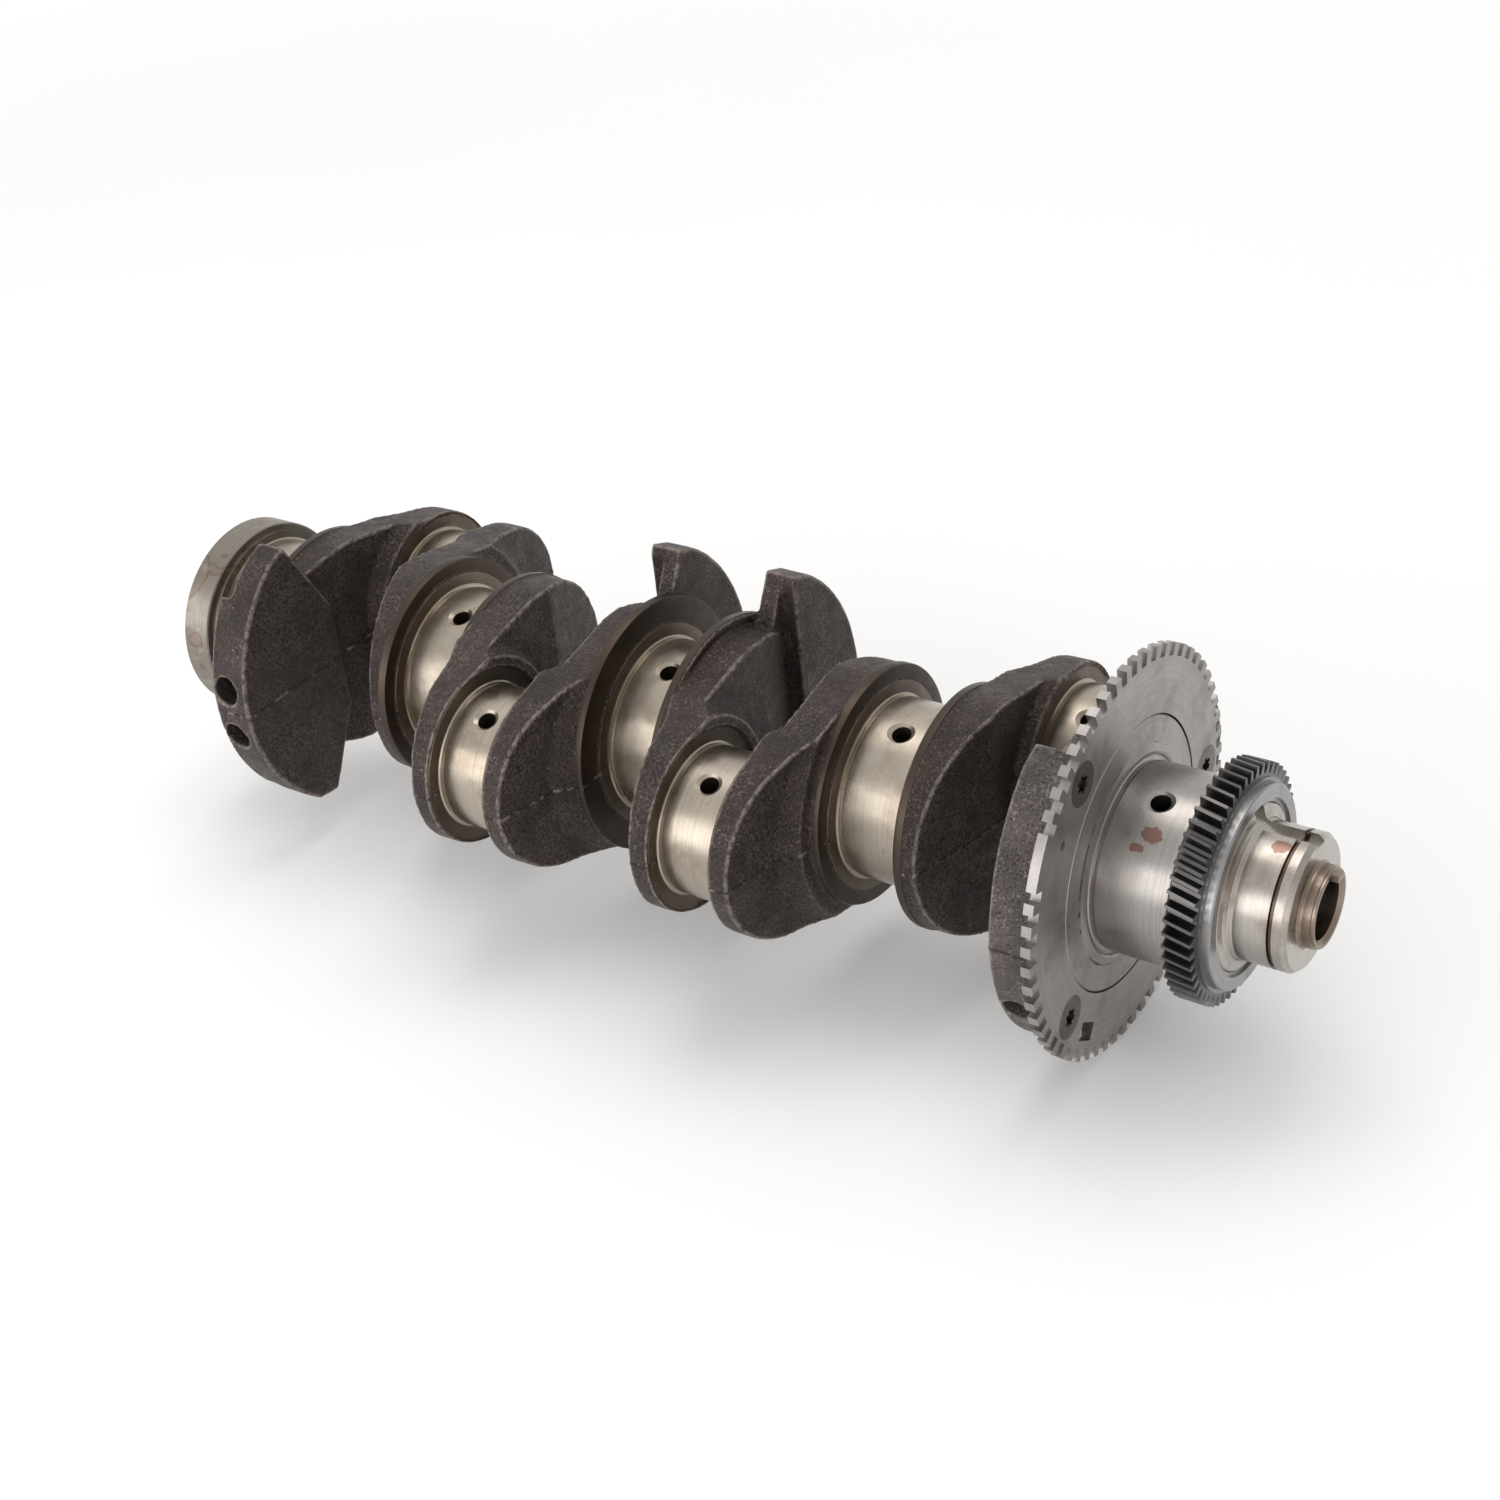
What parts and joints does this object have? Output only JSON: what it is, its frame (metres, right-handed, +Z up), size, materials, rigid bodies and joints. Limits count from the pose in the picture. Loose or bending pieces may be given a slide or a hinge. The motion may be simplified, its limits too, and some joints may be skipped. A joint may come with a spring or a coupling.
{
  "type": "crankshaft",
  "caption": "Forged crankshaft for an in-line engine, with ground journals, counterweights, a flywheel flange, a toothed speed ring, a helical timing gear and a keyed nose.",
  "frame": {"origin": "centre of the pilot bore at the rear face of the flywheel flange", "axes": "+X along the crank axis towards the nose, +Y towards crankpins 1 and 4 in the plane of the throws, +Z up"},
  "size_m": [0.5506, 0.183, 0.165],
  "materials": {
    "forged_skin": "dark rough forged skin",
    "ground_journal": "ground and polished",
    "turned_nose": "turned, lightly stained",
    "ring_steel": "satin",
    "gear_steel": "oily satin",
    "fastener_steel": "dark satin"
  },
  "bodies": {
    "root": {"flywheel_flange": "ground_journal", "flywheel_dowel": "fastener_steel", "main_journal_1": "ground_journal", "main_journal_2": "ground_journal", "main_journal_3": "ground_journal", "main_journal_4": "ground_journal", "main_journal_5": "ground_journal", "crankpin_1": "ground_journal", "crankpin_2": "ground_journal", "crankpin_3": "ground_journal", "crankpin_4": "ground_journal", "web_1": "forged_skin", "web_2": "forged_skin", "web_3": "forged_skin", "web_4": "forged_skin", "web_5": "forged_skin", "web_6": "forged_skin", "web_7": "forged_skin", "web_8": "forged_skin", "reluctor_ring": "ring_steel", "reluctor_screws": "fastener_steel", "ring_locating_pin": "fastener_steel", "timing_gear": "gear_steel", "nose": "turned_nose", "end_stub": "turned_nose", "drive_tang": "turned_nose"}
  },
  "joints": []
}
